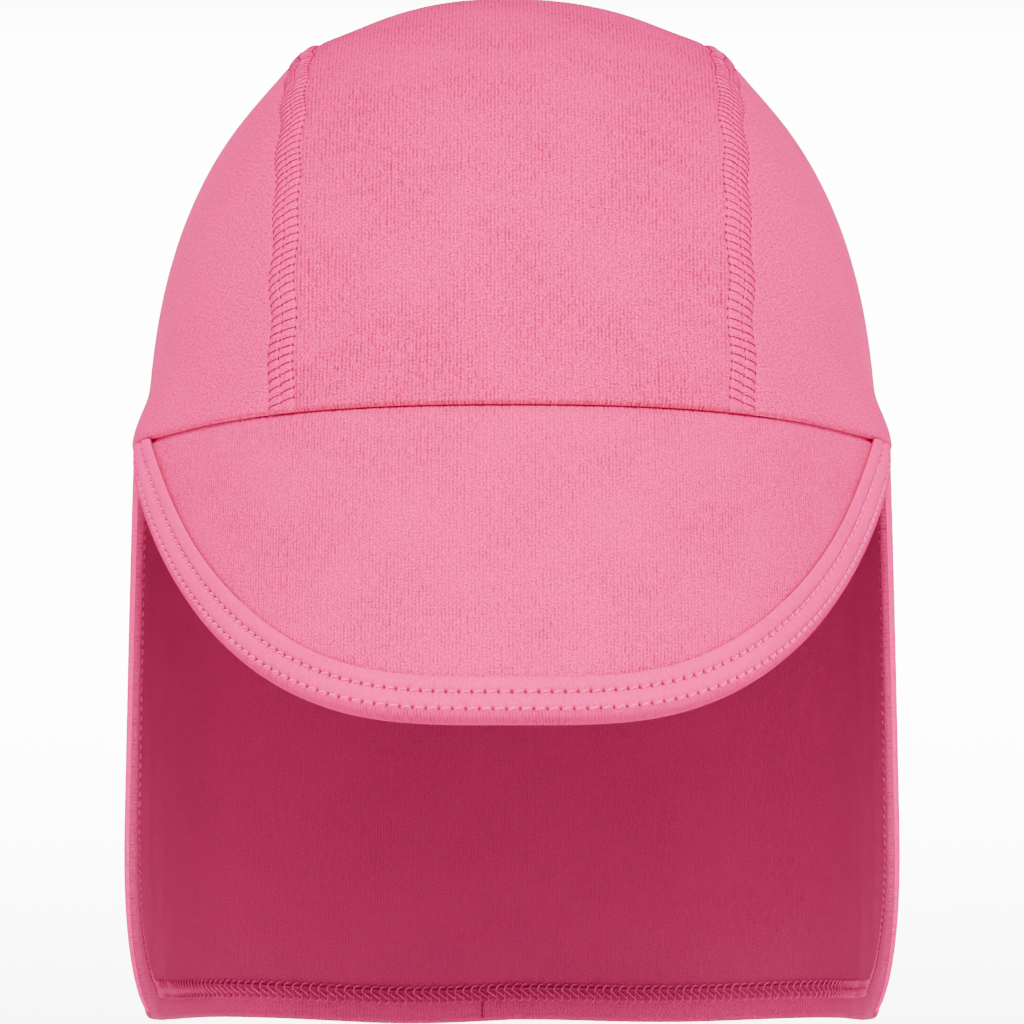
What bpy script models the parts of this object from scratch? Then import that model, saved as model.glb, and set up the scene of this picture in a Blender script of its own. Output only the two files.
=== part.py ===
"""Child's sun cap sewn from stretch swim cloth, with a padded peak and a neck flap.

The cap is shaped as it sits on a head: +Z is up, the front faces -Y, and the origin is the
middle of the head opening. The opening's edge lies in one plane, tilted down to the nape.
All sizes are in metres.
"""

import math

import bmesh
import bpy
import numpy as np
from mathutils import Vector

# Crown: a dome whose three half sizes are set one by one
HALF_WIDTH = 0.0728
HALF_LENGTH = 0.0850
CROWN_HEIGHT = 0.0926
DOME_POWER = 2.3
RIM_TILT = math.radians(16.5)
CROWN_WALL = 0.0015

# The lower edge rolls out a little, and more where the peak's stiff ends push it out
EDGE_ROLL = 0.0010
PEAK_FLARE = 0.0030
FLARE_REACH = 0.0160
ROLL_HEIGHT = 0.0150

# Seams between the crown's panels: a proud band with a soft ridge under it
SEAM_OUT = 0.0410
SEAM_TAPER = 0.0025
BAND_SPAN = 0.0047
BAND_WALL = 0.0021
BAND_RISE = 0.0004
SEAM_RIDGE = 0.0016
RIDGE_REACH = 0.0130

# Clearance between sewn neighbours
GAP = 0.0003

# Peak
PEAK_END_AHEAD = 0.0280
PEAK_LENGTH = 0.0685
PEAK_WALL = 0.0022
PEAK_INSET = 0.0006
DROOP_AT_ROOT = math.radians(42.0)
DROOP_AT_EDGE = math.radians(54.0)
OUTLINE_SIDE_POWER = 3.3
OUTLINE_REACH_POWER = 1.37
PEAK_CLOTH_SHARE = 0.980

# Binding folded over the peak's edge
BINDING_WIDTH = 0.0072
BINDING_WALL = 0.0011

# Neck flap, cut as a rectangle with two round corners, and its turned-up hem.
# The front edges swing out and hang lower by these shares of their way forward and of their length.
FLAP_LENGTH = 0.1072
FLAP_WALL = 0.0012
FLAP_INSET = 0.0004
FLAP_CORNER = 0.0360
FLAP_SPREAD = 0.0017
FLAP_DRAW_IN = 0.0020
FLAP_HALF_WIDTH = HALF_WIDTH + FLAP_SPREAD
FLAP_HALF_DEPTH = HALF_LENGTH - FLAP_DRAW_IN
FLAP_POWER = 3.2
FRONT_FLARE = 0.140
FRONT_DROP = 0.065
DROP_POWER = 1.1
SPREAD_POWER = 0.85
FOLD_POWER = 1.5
HEM_WIDTH = 0.0072
HEM_WALL = 0.0010

# Places of the rows and columns of faces, as shares of a panel's length or width
PANEL_ROWS = (0.0, 0.02, 0.045, 0.075, 0.11, *np.linspace(0.15, 0.85, 24), 0.89, 0.925, 0.955, 0.98, 1.0)
PANEL_COLUMNS = (-1.0, -0.93, -0.82, -0.58, -0.2, 0.2, 0.58, 0.82, 0.93, 1.0)
SIDE_ROWS = (0.0, 0.05, 0.12, 0.24, 0.4, 0.58, 0.74, 0.85, 0.91, 0.955, 0.98, 1.0)
SIDE_COLUMNS = 26
PEAK_COLUMNS = 40
PEAK_ROWS = 6
BINDING_STATIONS = 46
FLAP_COLUMNS = 32
FLAP_CORNER_COLUMNS = 9
FLAP_ROWS = 10

# Binding's section from its inner edge over the top, round the peak's edge and back underneath.
# Columns: inward from the peak's edge as a share of BINDING_WIDTH, height as a share of BINDING_WALL
BINDING_TOP = (
    (1.000, 0.00),
    (0.985, 0.62),
    (0.930, 0.98),
    (0.820, 0.98),
    (0.745, 0.52),
    (0.670, 0.96),
    (0.530, 0.96),
    (0.455, 0.52),
    (0.380, 1.00),
    (0.200, 1.16),
    (0.020, 0.98),
)
BINDING_UNDER = (
    (0.020, 0.98),
    (0.400, 0.90),
    (0.860, 0.90),
    (0.880, 0.00),
)

# Soft folds of the hanging flap.
# Columns: place along the flap from -1 at its left front edge to 1 at its right one,
# depth as a share of FLAP_LENGTH, outward positive, and width as a share of the flap's half length
FLAP_FOLDS = (
    (-0.66, -0.012, 0.035),
    (-0.40, 0.022, 0.100),
    (-0.16, -0.020, 0.090),
    (0.06, 0.016, 0.080),
    (0.27, -0.022, 0.100),
    (0.47, 0.018, 0.080),
    (0.67, -0.012, 0.035),
)

# Faces along the hem: down the front edge, round the corner, along the bottom, and back up
HEM_STATIONS = (5, FLAP_CORNER_COLUMNS, FLAP_COLUMNS, FLAP_CORNER_COLUMNS, 5)

CROWN_PINK = (0.857, 0.242, 0.385)
SEAM_PINK = (0.800, 0.205, 0.345)
PEAK_PINK = (0.880, 0.262, 0.410)
FLAP_PINK = (0.800, 0.190, 0.330)

DOME_SIZES = (HALF_WIDTH, HALF_LENGTH, CROWN_HEIGHT)
RIM_NORMAL = Vector((0.0, math.sin(RIM_TILT), math.cos(RIM_TILT)))
SHORT_STEP = 0.002


def material(name, colour):
    """Matt stretch knit in one colour."""
    made = bpy.data.materials.new(name)
    made.use_nodes = True
    shader = made.node_tree.nodes["Principled BSDF"]
    shader.inputs["Base Color"].default_value = (*colour, 1.0)
    shader.inputs["Roughness"].default_value = 0.85
    shader.inputs["Metallic"].default_value = 0.0
    return made


def finish(name, bm, colour):
    """Turns a closed bmesh into a named, smooth-shaded object."""
    if bm.calc_volume(signed=True) < 0.0:
        bmesh.ops.reverse_faces(bm, faces=bm.faces[:])
    mesh = bpy.data.meshes.new(name)
    bm.to_mesh(mesh)
    bm.free()
    mesh.shade_smooth()
    mesh.set_sharp_from_angle(angle=math.radians(50.0))
    mesh.materials.append(material(name + "_cloth", colour))
    piece = bpy.data.objects.new(name, mesh)
    bpy.context.scene.collection.objects.link(piece)
    return piece


def bent_slab(name, columns, rows, place, colour):
    """A closed sheet: a flat slab bent by place(column share, row share, 0 on its face or 1 on its back)."""
    bm = bmesh.new()
    bmesh.ops.create_grid(bm, x_segments=columns, y_segments=rows, size=1.0)
    bmesh.ops.solidify(bm, geom=bm.faces[:], thickness=1.0)
    for vert in bm.verts:
        column = round((vert.co.x + 1.0) / 2.0 * columns) / columns
        row = round((vert.co.y + 1.0) / 2.0 * rows) / rows
        vert.co = place(column, row, round(-vert.co.z))
    bmesh.ops.remove_doubles(bm, verts=bm.verts[:], dist=GAP / 30.0)
    return finish(name, bm, colour)


def spaced(share, places):
    """Reads a table of places at a share of its length."""
    return float(np.interp(share * (len(places) - 1), range(len(places)), places))


def smooth_fall(share):
    """1 at a share of 0, easing to 0 at a share of 1."""
    left = min(1.0, max(0.0, 1.0 - share))
    return left * left * (3.0 - 2.0 * left)


def onto_rim(point, below=0.0):
    """Drops a point straight onto the rim's plane, or onto one that lies below it."""
    return point - RIM_NORMAL * (point.dot(RIM_NORMAL) + below)


def seam_place(turn):
    """Sideways place of the panel seam at a turn about the X axis, 0 being level ahead."""
    return SEAM_OUT + SEAM_TAPER * math.cos(turn)


def seam_edge(turn, side):
    """Sideways place of the panel's cut edge on the inner (-1) or outer (1) side of the seam band."""
    return seam_place(turn) + side * (BAND_SPAN / 2.0 + GAP)


def plain_dome(turn, x):
    """Point of the plain dome at a turn about X and a sideways place, with no roll, flare or ridge."""
    spread = abs(math.cos(turn) / HALF_LENGTH) ** DOME_POWER
    spread += abs(math.sin(turn) / CROWN_HEIGHT) ** DOME_POWER
    across = min(1.0, abs(x) / HALF_WIDTH)
    reach = ((1.0 - across**DOME_POWER) / spread) ** (1.0 / DOME_POWER)
    return Vector((x, -reach * math.cos(turn), reach * math.sin(turn)))


def dome_normal(point):
    """Outward normal of the plain dome."""
    slope = [
        math.copysign((abs(value) / size) ** (DOME_POWER - 1.0) / size, value)
        for value, size in zip(point, DOME_SIZES)
    ]
    return Vector(slope).normalized()


def crown_point(turn, x, depth=0.0):
    """Point of the crown at a turn about X and a sideways place, at a depth inside its face."""
    point = plain_dome(turn, x)
    normal = dome_normal(point)
    fall = smooth_fall(point.dot(RIM_NORMAL) / ROLL_HEIGHT)
    flare = PEAK_FLARE * math.exp(-(((point.y + PEAK_END_AHEAD) / FLARE_REACH) ** 2))
    tent = max(0.0, 1.0 - abs(abs(x) - seam_place(turn)) / RIDGE_REACH)
    if fall > 0.0:
        level = normal - RIM_NORMAL * normal.dot(RIM_NORMAL)
        point += level.normalized() * (EDGE_ROLL + flare) * fall
    point += normal * SEAM_RIDGE * tent**2 * (1.0 - fall)
    return point - normal * depth


def crown_toward(direction, depth=0.0):
    """Point of the crown straight out from the origin in a direction."""
    size = sum((abs(value) / side) ** DOME_POWER for value, side in zip(direction, DOME_SIZES))
    base = direction / size ** (1.0 / DOME_POWER)
    return crown_point(math.atan2(base.z, -base.y), base.x, depth)


def plain_rim(angle):
    """Turn and sideways place of the rim at an angle from the front centre, positive to +X."""
    x = math.copysign(abs(math.sin(angle)) ** (2.0 / DOME_POWER), math.sin(angle)) * HALF_WIDTH
    return (RIM_TILT if math.cos(angle) > 0.0 else math.pi + RIM_TILT), x


def rim_point(angle):
    """Outer edge of the crown's opening at an angle from the front centre."""
    return onto_rim(crown_point(*plain_rim(angle)))


RIM_ANGLES = np.linspace(-math.pi, math.pi, 1441)
RIM_POINTS = np.array([rim_point(angle) for angle in RIM_ANGLES])
RIM_STEPS = np.linalg.norm(np.diff(RIM_POINTS, axis=0), axis=1)
RIM_HALF = float(RIM_STEPS.sum() / 2.0)
RIM_LENGTHS = np.concatenate(([0.0], np.cumsum(RIM_STEPS))) - RIM_HALF
AHEAD_OF_EAR = (RIM_ANGLES >= 0.0) & (RIM_ANGLES <= math.pi / 2.0)
PEAK_HALF_ROOT = float(np.interp(-PEAK_END_AHEAD, RIM_POINTS[AHEAD_OF_EAR, 1], RIM_LENGTHS[AHEAD_OF_EAR]))
FLAP_HALF = RIM_HALF - PEAK_HALF_ROOT - 2.0 * (BINDING_WALL + GAP)


def rim_at(length):
    """Point and level outward direction of the rim, by the length walked from the front centre."""
    angle = float(np.interp(length, RIM_LENGTHS, RIM_ANGLES))
    along = rim_point(angle + SHORT_STEP) - rim_point(angle - SHORT_STEP)
    return rim_point(angle), along.cross(RIM_NORMAL).normalized()


def make_centre_panel():
    """The long panel from the peak over the top to the nape."""

    def place(column, row, depth):
        turn = RIM_TILT + math.pi * spaced(row, PANEL_ROWS)
        x = spaced(column, PANEL_COLUMNS) * seam_edge(turn, -1)
        point = crown_point(turn, x, depth * CROWN_WALL)
        return onto_rim(point) if row in (0.0, 1.0) else point

    return bent_slab("crown_centre_panel", len(PANEL_COLUMNS) - 1, len(PANEL_ROWS) - 1, place, CROWN_PINK)


def make_side_panel(name, side):
    """A half-moon panel between the seam and the rim, on the side given by its sign."""
    front = math.asin((seam_edge(RIM_TILT, 1) / HALF_WIDTH) ** (DOME_POWER / 2.0))
    back = math.pi - math.asin((seam_edge(math.pi + RIM_TILT, 1) / HALF_WIDTH) ** (DOME_POWER / 2.0))

    def place(column, row, depth):
        share = 0.65 * column + 0.35 * smooth_fall(1.0 - column)
        turn = RIM_TILT + math.pi * share
        seam = plain_dome(turn, seam_edge(turn, 1))
        rim = plain_dome(*plain_rim(front + (back - front) * share))
        down = spaced(row, SIDE_ROWS)
        point = crown_toward(seam.lerp(rim, down), depth * CROWN_WALL)
        if down == 1.0 or column in (0.0, 1.0):
            point = onto_rim(point)
        point.x *= side
        return point

    return bent_slab(name, SIDE_COLUMNS, len(SIDE_ROWS) - 1, place, CROWN_PINK)


def make_seam_band(name, side):
    """The raised flat seam between the centre panel and a side panel."""

    def place(column, row, depth):
        turn = RIM_TILT + math.pi * spaced(row, PANEL_ROWS)
        x = seam_place(turn) + (column - 0.5) * BAND_SPAN
        point = crown_point(turn, x, depth * BAND_WALL - BAND_RISE)
        if row in (0.0, 1.0):
            point = onto_rim(point)
        point.x *= side
        return point

    return bent_slab(name, 2, len(PANEL_ROWS) - 1, place, SEAM_PINK)


def peak_root(length):
    """Where the peak's top face starts, just under the crown's edge."""
    point, outward = rim_at(length)
    return onto_rim(point - outward * PEAK_INSET, GAP)


PEAK_END_OUT = abs(peak_root(PEAK_HALF_ROOT).x)


def peak_reach(length):
    """How far the peak reaches from its root there."""
    across = min(1.0, abs(peak_root(length).x) / PEAK_END_OUT)
    return PEAK_LENGTH * (1.0 - across**OUTLINE_SIDE_POWER) ** (1.0 / OUTLINE_REACH_POWER)


def peak_point(length, reach):
    """Point of the peak's top face: the root moved ahead and down along an arc."""
    radius = PEAK_LENGTH / (DROOP_AT_EDGE - DROOP_AT_ROOT)
    droop = DROOP_AT_ROOT + reach / radius
    ahead = radius * (math.sin(droop) - math.sin(DROOP_AT_ROOT))
    down = radius * (math.cos(DROOP_AT_ROOT) - math.cos(droop))
    return peak_root(length) - Vector((0.0, ahead, down))


def peak_slope(reach):
    """Direction in which the peak runs out at a reach from its root."""
    droop = DROOP_AT_ROOT + (DROOP_AT_EDGE - DROOP_AT_ROOT) * reach / PEAK_LENGTH
    return Vector((0.0, -math.cos(droop), -math.sin(droop)))


def peak_normal(length, reach):
    """Normal of the peak's top face."""
    step = SHORT_STEP / 4.0
    along = peak_root(length + step) - peak_root(length - step)
    return peak_slope(reach).cross(along).normalized()


def slide_to_root(point, slope):
    """Moves a point along the peak's slope onto the plane where the peak starts."""
    return point - slope * ((point.dot(RIM_NORMAL) + GAP) / slope.dot(RIM_NORMAL))


def make_peak():
    """The padded peak, as one slab that follows the rim and droops towards its edge."""

    def place(column, row, depth):
        length = PEAK_HALF_ROOT * PEAK_CLOTH_SHARE * math.sin((column - 0.5) * math.pi)
        reach = row * peak_reach(length)
        point = peak_point(length, reach) - peak_normal(length, reach) * depth * PEAK_WALL
        return slide_to_root(point, peak_slope(0.0)) if row == 0.0 else point

    return bent_slab("peak", PEAK_COLUMNS, PEAK_ROWS, place, PEAK_PINK)


def outline_length(share):
    """Rim length of the peak's outline at a share from -1 to 1, with more steps near its ends."""
    return PEAK_HALF_ROOT * math.sin(share * math.pi / 2.0)


def outline_point(share):
    """Edge of the peak's top face at a share from -1 to 1."""
    length = outline_length(share)
    return peak_point(length, peak_reach(length))


def even_shares(curve, low, high, count):
    """Shares at which a curve is cut into a number of equal lengths."""
    shares = np.linspace(low, high, count * 20 + 1)
    points = np.array([curve(share) for share in shares])
    lengths = np.concatenate(([0.0], np.cumsum(np.linalg.norm(np.diff(points, axis=0), axis=1))))
    return np.interp(np.linspace(0.0, lengths[-1], count + 1), lengths, shares)


def binding_section():
    """The binding's closed section: inward from the peak's edge, and height over the peak's top face."""
    under = -PEAK_WALL
    section = [(inward * BINDING_WIDTH, GAP + height * BINDING_WALL) for inward, height in BINDING_TOP]
    section.append((-GAP - 0.80 * BINDING_WALL, GAP + 0.35 * BINDING_WALL))
    section.append((-GAP - BINDING_WALL, under / 2.0))
    section.append((-GAP - 0.80 * BINDING_WALL, under - GAP - 0.35 * BINDING_WALL))
    section += [(inward * BINDING_WIDTH, under - GAP - height * BINDING_WALL) for inward, height in BINDING_UNDER]
    section += [(-GAP, under - GAP), (-GAP, GAP)]
    section += [(BINDING_WIDTH / 3.0, GAP), (BINDING_WIDTH / 1.5, GAP)]
    return section


def binding_point(share, inward, height, lift=0.0):
    """Point of the binding, measured in from the peak's edge along its top face and up from that face."""
    length = outline_length(share)
    reach = peak_reach(length)
    before = outline_length(max(-1.0, share - SHORT_STEP * 5.0))
    after = outline_length(min(1.0, share + SHORT_STEP * 5.0))
    step = (after - before, peak_reach(after) - peak_reach(before))
    along = (peak_root(length + SHORT_STEP) - peak_root(length - SHORT_STEP)).normalized()
    skew = along.dot(peak_slope(reach))
    across = (step[1] + skew * step[0], -step[0] - skew * step[1])
    size = math.sqrt(across[0] ** 2 + across[1] ** 2 + 2.0 * skew * across[0] * across[1])
    length += across[0] / size * inward
    reach += across[1] / size * inward - lift
    return peak_point(length, reach) + peak_normal(length, reach) * height


def make_binding():
    """The strip folded over the peak's edge, with two sewn channels along its top, cut off at the rim."""
    shares = even_shares(outline_point, -1.0, 1.0, BINDING_STATIONS)
    shares = [-1.0, *shares, 1.0]
    stations = len(shares) - 1
    section = binding_section()
    bm = bmesh.new()
    bmesh.ops.create_grid(bm, x_segments=stations, y_segments=len(section), size=1.0)
    for vert in bm.verts:
        station = round((vert.co.x + 1.0) / 2.0 * stations)
        inward, height = section[round((vert.co.y + 1.0) / 2.0 * len(section)) % len(section)]
        lift = BINDING_WIDTH if station in (0, stations) else 0.0
        vert.co = binding_point(float(shares[station]), inward, height, lift)
    bmesh.ops.remove_doubles(bm, verts=bm.verts[:], dist=GAP / 30.0)
    everything = bm.verts[:] + bm.edges[:] + bm.faces[:]
    cut = RIM_NORMAL * -GAP
    bmesh.ops.bisect_plane(bm, geom=everything, plane_co=cut, plane_no=RIM_NORMAL, clear_outer=True)
    bmesh.ops.remove_doubles(bm, verts=bm.verts[:], dist=GAP / 10.0)
    bmesh.ops.holes_fill(bm, edges=bm.edges[:], sides=0)
    bmesh.ops.recalc_face_normals(bm, faces=bm.faces[:])
    return finish("peak_binding", bm, PEAK_PINK)


def flap_plan(top):
    """Plan of the flap's lower edge under a point of its upper edge."""
    if top.y < 0.0:
        out = FLAP_HALF_WIDTH - FRONT_FLARE * top.y
        return Vector((math.copysign(out, top.x), top.y, 0.0))
    size = (abs(top.x) / FLAP_HALF_WIDTH) ** FLAP_POWER + (top.y / FLAP_HALF_DEPTH) ** FLAP_POWER
    return Vector((top.x, top.y, 0.0)) / size ** (1.0 / FLAP_POWER)


def flap_face(along, drop):
    """Outer face of the flap at a length along it from the centre back and a length down from the rim."""
    length = math.copysign(RIM_HALF - abs(along), along)
    edge, outward = rim_at(length)
    top = onto_rim(edge - outward * FLAP_INSET, GAP)
    low = flap_plan(top)
    share = max(0.0, drop / FLAP_LENGTH)
    point = top.lerp(Vector((low.x, low.y, top.z)), share**SPREAD_POWER)
    outward = Vector((outward.x, outward.y, 0.0)).normalized()
    for where, depth, width in FLAP_FOLDS:
        swell = math.exp(-(((along / FLAP_HALF - where) / width) ** 2))
        point += outward * depth * FLAP_LENGTH * swell * share**FOLD_POWER
    point.z -= drop * (1.0 + FRONT_DROP * abs(along / FLAP_HALF) ** DROP_POWER)
    return point


def flap_point(along, drop, depth):
    """Point at a depth inside the flap's outer face."""
    step = SHORT_STEP / 2.0
    across = flap_face(along + step, drop) - flap_face(along - step, drop)
    down = flap_face(along, drop + step) - flap_face(along, max(0.0, drop - step))
    inward = across.cross(down).normalized()
    face = flap_face(along, drop)
    if inward.dot(Vector((face.x, face.y, 0.0))) > 0.0:
        inward.negate()
    return face + inward * depth


def flap_drop(along):
    """Length of the flap there, shorter in its round corners."""
    into_corner = max(0.0, abs(along) - (FLAP_HALF - FLAP_CORNER))
    return FLAP_LENGTH - FLAP_CORNER + math.sqrt(max(0.0, FLAP_CORNER**2 - into_corner**2))


def make_flap():
    """The cloth that hangs from temple to temple round the back of the head."""
    flat = 1.0 - FLAP_CORNER / FLAP_HALF
    turns = np.sin(np.linspace(0.0, math.pi / 2.0, FLAP_CORNER_COLUMNS + 1))
    half = [*np.linspace(0.0, flat, FLAP_COLUMNS // 2 + 1)[:-1], *(flat + (1.0 - flat) * turns)]
    places = [-value for value in half[:0:-1]] + half
    columns = len(places) - 1

    def place(column, row, depth):
        along = FLAP_HALF * spaced(column, places)
        point = flap_point(along, row * flap_drop(along), depth * FLAP_WALL)
        return onto_rim(point, GAP) if row == 0.0 else point

    return bent_slab("neck_flap", columns, FLAP_ROWS, place, FLAP_PINK)


def hem_path(walked):
    """Point of the flap's cut edge and its inward direction, by the length walked from the left front edge."""
    side = FLAP_LENGTH - FLAP_CORNER
    corner = FLAP_CORNER * math.pi / 2.0
    bottom = 2.0 * (FLAP_HALF - FLAP_CORNER)
    if walked > side + corner + bottom / 2.0:
        along, drop, inward = hem_path(2.0 * (side + corner) + bottom - walked)
        return -along, drop, (-inward[0], inward[1])
    if walked <= side:
        return -FLAP_HALF, walked, (1.0, 0.0)
    if walked <= side + corner:
        angle = (walked - side) / FLAP_CORNER
        inward = (math.cos(angle), -math.sin(angle))
        return -FLAP_HALF + FLAP_CORNER * (1.0 - inward[0]), side - FLAP_CORNER * inward[1], inward
    return -FLAP_HALF + FLAP_CORNER + walked - side - corner, FLAP_LENGTH, (0.0, -1.0)


def make_hem():
    """The turned-up layer inside the flap, along its front edges and its lower edge."""
    side = FLAP_LENGTH - FLAP_CORNER
    corner = FLAP_CORNER * math.pi / 2.0
    bottom = 2.0 * (FLAP_HALF - FLAP_CORNER)
    ends = np.cumsum([0.0, side, corner, bottom, corner, side])
    places = [0.0]
    for count, low, high in zip(HEM_STATIONS, ends[:-1], ends[1:]):
        places += list(np.linspace(low, high, count + 1)[1:])

    def place(column, row, depth):
        along, drop, inward = hem_path(spaced(column, places))
        along += inward[0] * row * HEM_WIDTH
        drop += inward[1] * row * HEM_WIDTH
        point = flap_point(along, drop, FLAP_WALL + GAP + depth * HEM_WALL)
        return onto_rim(point, GAP) if column in (0.0, 1.0) else point

    return bent_slab("flap_hem", len(places) - 1, 2, place, FLAP_PINK)


def main():
    for piece in list(bpy.data.objects):
        bpy.data.objects.remove(piece, do_unlink=True)
    make_centre_panel()
    for name, side in (("left", -1.0), ("right", 1.0)):
        make_side_panel("crown_side_panel_" + name, side)
        make_seam_band("flatlock_seam_" + name, side)
    make_peak()
    make_binding()
    make_flap()
    make_hem()


main()
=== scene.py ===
"""Looks of a child's sun cap sewn from pink stretch swim knit.

model.glb gives the cap's plain solids. Each cloth panel, seam, binding and hem is made again here on the
same surfaces, with its rolled edges, puckers, threads and knit. Sizes are in metres, +Z is up and the
peak faces -Y.
"""

import functools
import math

import bmesh
import bpy
import numpy as np
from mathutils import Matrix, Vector


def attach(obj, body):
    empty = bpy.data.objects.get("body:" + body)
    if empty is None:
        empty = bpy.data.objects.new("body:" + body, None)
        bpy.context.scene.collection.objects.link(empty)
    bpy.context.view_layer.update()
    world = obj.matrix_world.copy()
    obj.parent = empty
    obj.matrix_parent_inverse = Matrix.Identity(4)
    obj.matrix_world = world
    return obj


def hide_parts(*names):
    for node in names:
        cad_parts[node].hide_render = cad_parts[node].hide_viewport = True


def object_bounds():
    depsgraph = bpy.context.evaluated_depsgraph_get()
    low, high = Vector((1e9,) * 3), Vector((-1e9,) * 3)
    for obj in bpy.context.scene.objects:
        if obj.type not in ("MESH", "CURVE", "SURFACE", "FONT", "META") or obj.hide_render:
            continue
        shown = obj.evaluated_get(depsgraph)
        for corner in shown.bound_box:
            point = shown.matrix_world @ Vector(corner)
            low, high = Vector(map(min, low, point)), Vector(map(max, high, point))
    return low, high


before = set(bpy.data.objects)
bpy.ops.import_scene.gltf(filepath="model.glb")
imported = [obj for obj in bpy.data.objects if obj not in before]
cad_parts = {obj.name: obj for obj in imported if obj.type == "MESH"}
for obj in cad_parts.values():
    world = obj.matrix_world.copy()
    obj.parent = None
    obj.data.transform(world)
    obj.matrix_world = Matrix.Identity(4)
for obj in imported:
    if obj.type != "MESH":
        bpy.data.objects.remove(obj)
CAD_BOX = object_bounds()

# Crown: a dome whose three half sizes are set one by one, as the solids have it
HALF_WIDTH = 0.0728
HALF_LENGTH = 0.0850
CROWN_HEIGHT = 0.0926
DOME_POWER = 2.3
RIM_TILT = math.radians(16.5)
CROWN_WALL = 0.0015
EDGE_ROLL = 0.0010
PEAK_FLARE = 0.0030
FLARE_REACH = 0.0160
ROLL_HEIGHT = 0.0150

# Seams between the crown's panels
SEAM_OUT = 0.0410
SEAM_TAPER = 0.0025
SEAM_WAVER = 0.00028
SEAM_WAVES = 33.0
BAND_SPAN = 0.0047
BAND_WALL = 0.0021
BAND_RISE = 0.0004
SEAM_RIDGE = 0.0016
RIDGE_REACH = 0.0130

# Clearance between sewn neighbours in the solids
GAP = 0.0003

# Peak and its binding
PEAK_END_AHEAD = 0.0280
PEAK_LENGTH = 0.0685
PEAK_WALL = 0.0022
PEAK_INSET = 0.0006
DROOP_AT_ROOT = math.radians(42.0)
DROOP_AT_EDGE = math.radians(54.0)
OUTLINE_SIDE_POWER = 3.3
OUTLINE_REACH_POWER = 1.37
PEAK_CLOTH_SHARE = 0.980
BINDING_WIDTH = 0.0072
BINDING_WALL = 0.0011

# Neck flap and its hem
FLAP_LENGTH = 0.1072
FLAP_WALL = 0.0012
FLAP_INSET = 0.0004
FLAP_CORNER = 0.0360
FLAP_HALF_WIDTH = 0.0745
FLAP_HALF_DEPTH = 0.0830
FLAP_POWER = 3.2
FRONT_FLARE = 0.140
FRONT_DROP = 0.065
DROP_POWER = 1.1
SPREAD_POWER = 0.85
FOLD_POWER = 1.5
HEM_WIDTH = 0.0072
HEM_WALL = 0.0010

# Soft folds of the hanging flap.
# Columns: place along the flap from -1 at its left front edge to 1 at its right one,
# depth as a share of FLAP_LENGTH, outward positive, and width as a share of the flap's half length
FLAP_FOLDS = (
    (-0.66, -0.012, 0.035),
    (-0.40, 0.022, 0.100),
    (-0.16, -0.020, 0.090),
    (0.06, 0.016, 0.080),
    (0.27, -0.022, 0.100),
    (0.47, 0.018, 0.080),
    (0.67, -0.012, 0.035),
)

# Relief of the sewn cloth
EDGE_ROUND = 0.0007
SEAM_DIP = 0.00022
SEAM_DIP_REACH = 0.0007
SOFT_DENT = 0.00022
FOLD_ROUND = 0.00125
NEEDLE_DIP = 0.00022
PEAK_SWELL = 0.00035
CREASE_DIP = 0.0009
ROOT_DIP = 0.0007
BINDING_DIP = 0.00040
HEM_JOIN_ALONG = -0.0068
HEM_JOIN_DIP = 0.0002

# Stitches: pitch, thread thickness
SEAM_PITCH = 0.0017
SEAM_THREAD = 0.00026
BINDING_PITCH = 0.0025
BINDING_THREAD = 0.00032
COVER_PITCH = 0.0018
COVER_THREAD = 0.00038
NEEDLE_PITCH = 0.0023
NEEDLE_THREAD = 0.00026
COVER_LOW = 0.0046
COVER_HIGH = 0.0079

# Places of the binding's two stitch rows, inward from the peak's edge as shares of BINDING_WIDTH
BINDING_ROWS = (0.56, 0.08)

# One repeat of the coverstitch: an arch along the upper row, a strand across and a hook on the lower row.
# Columns: along the hem in pitches, and up from COVER_LOW (0) to COVER_HIGH (1)
COVER_LOOPS = (
    ((0.80, 1.00), (0.45, 1.02), (0.15, 0.92), (0.00, 0.76), (-0.03, 0.62), (0.02, 0.48)),
    ((0.00, 0.62), (0.20, 0.55), (0.40, 0.47), (0.60, 0.39), (0.80, 0.30), (0.97, 0.20)),
    ((1.00, 0.50), (1.02, 0.36), (1.03, 0.22), (0.98, 0.08), (0.78, -0.01), (0.50, 0.00)),
)

# Binding's section from its inner edge over the top, round the peak's edge and back underneath.
# Columns: inward from the peak's edge as a share of BINDING_WIDTH, height as a share of BINDING_WALL
BINDING_TOP = (
    (1.000, 0.00),
    (0.990, 0.62),
    (0.930, 0.98),
    (0.650, 1.00),
    (0.560, 0.12),
    (0.470, 1.00),
    (0.180, 1.00),
    (0.080, 0.20),
    (-0.010, 1.00),
)
BINDING_UNDER = (
    (0.020, 0.98),
    (0.400, 0.90),
    (0.860, 0.90),
    (0.880, 0.00),
)

# Distances from the hem's fold between which the threads of its join run
HEM_JOIN_RUNS = ((0.0009, 0.0022), (0.0020, 0.0032), (0.0030, COVER_LOW))

# Points along each short thread
THREAD_POINTS = 6

# Colours, in sRGB: dyes, the floor's paint, and dyes darkened with painted shade where noted
CROWN_PINK = "FC1483"
CROWN_SHADE = "9C0440"
PEAK_PINK = "FD1887"
PEAK_SHADE = "A00642"
# Painted shade: the binding's pink darkened on its roll, which turns down away from the light
ROLL_PINK = "DC1070"
# Painted shade in the needle holes
HOLE_SHADE = "78042C"
# Painted shade: the inside's deeper pinks stand for the shade inside the flap and crown
FLAP_INSIDE = "A82A58"
FLAP_INSIDE_SHADE = "640830"
# Painted shade: the hem's outer pink darkened inside the flap, less than the inside's
HEM_PINK = "C02E68"
# A deeper pink, darkened further with painted shade of the grooves the thread lies in
SEAM_THREAD_PINK = "780636"
PALE_THREAD_PINK = "FF58B0"
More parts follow.
